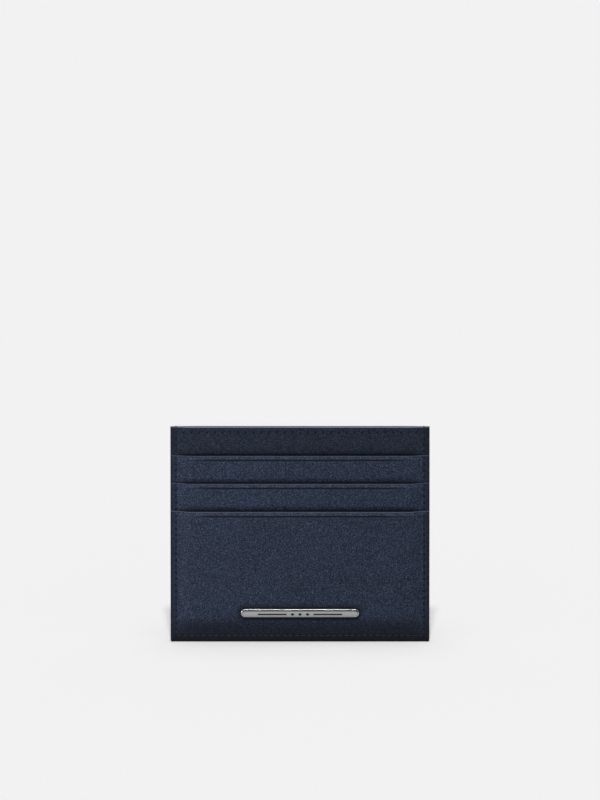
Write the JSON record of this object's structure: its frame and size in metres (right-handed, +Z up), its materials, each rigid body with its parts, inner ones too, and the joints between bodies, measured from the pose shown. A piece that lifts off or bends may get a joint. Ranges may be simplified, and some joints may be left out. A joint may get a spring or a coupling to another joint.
{
  "type": "card holder",
  "caption": "Flat leather card holder with stepped card slots on its front, an open centre pocket and a metal nameplate bar.",
  "frame": {"origin": "middle of the bottom edge, halfway between the nameplate's face and the back", "axes": "+X along the width, -Y out of the front with the slots and the nameplate, +Z up towards the slots' mouths and the rim"},
  "size_m": [0.1, 0.0082, 0.0848],
  "materials": {
    "outer_leather": "fine pebbled grain, navy, soft sheen",
    "lining_fabric": "fine plain weave, dark navy, matt",
    "stiffener_board": "bonded fibre board, matt",
    "seam_bond": "pressed and glued leather edges, dark",
    "thread": "twisted polyester sewing thread, navy, slight sheen",
    "edge_paint": "smooth satin edge paint, near-black navy",
    "bar_metal": "gunmetal plate, fine brushed face with polished bevels",
    "black_enamel": "black enamel filling, semi-gloss",
    "washer_steel": "plain steel"
  },
  "bodies": {
    "root": {"front_pocket_panel": "outer_leather", "front_pocket_stiffener": "stiffener_board", "front_pocket_lining": "lining_fabric", "middle_slot_panel": "outer_leather", "middle_slot_tail": "lining_fabric", "top_slot_panel": "outer_leather", "top_slot_tail": "lining_fabric", "front_body_panel": "outer_leather", "front_body_stiffener": "stiffener_board", "front_body_lining": "lining_fabric", "back_body_lining": "lining_fabric", "back_body_stiffener": "stiffener_board", "back_body_panel": "outer_leather", "left_seam_bond": "seam_bond", "right_seam_bond": "seam_bond", "bottom_seam_bond": "seam_bond", "tail_seam_bond": "seam_bond", "left_seam_thread": "thread", "right_seam_thread": "thread", "bottom_seam_thread": "thread", "front_hem_thread": "thread", "back_hem_thread": "thread", "tail_thread": "thread", "side_edge_paint": "edge_paint", "bottom_edge_paint": "edge_paint", "mouth_edge_paint": "edge_paint", "rim_edge_paint": "edge_paint", "nameplate_bar": "bar_metal", "nameplate_inlay": "black_enamel", "nameplate_washers": "washer_steel"}
  },
  "joints": []
}
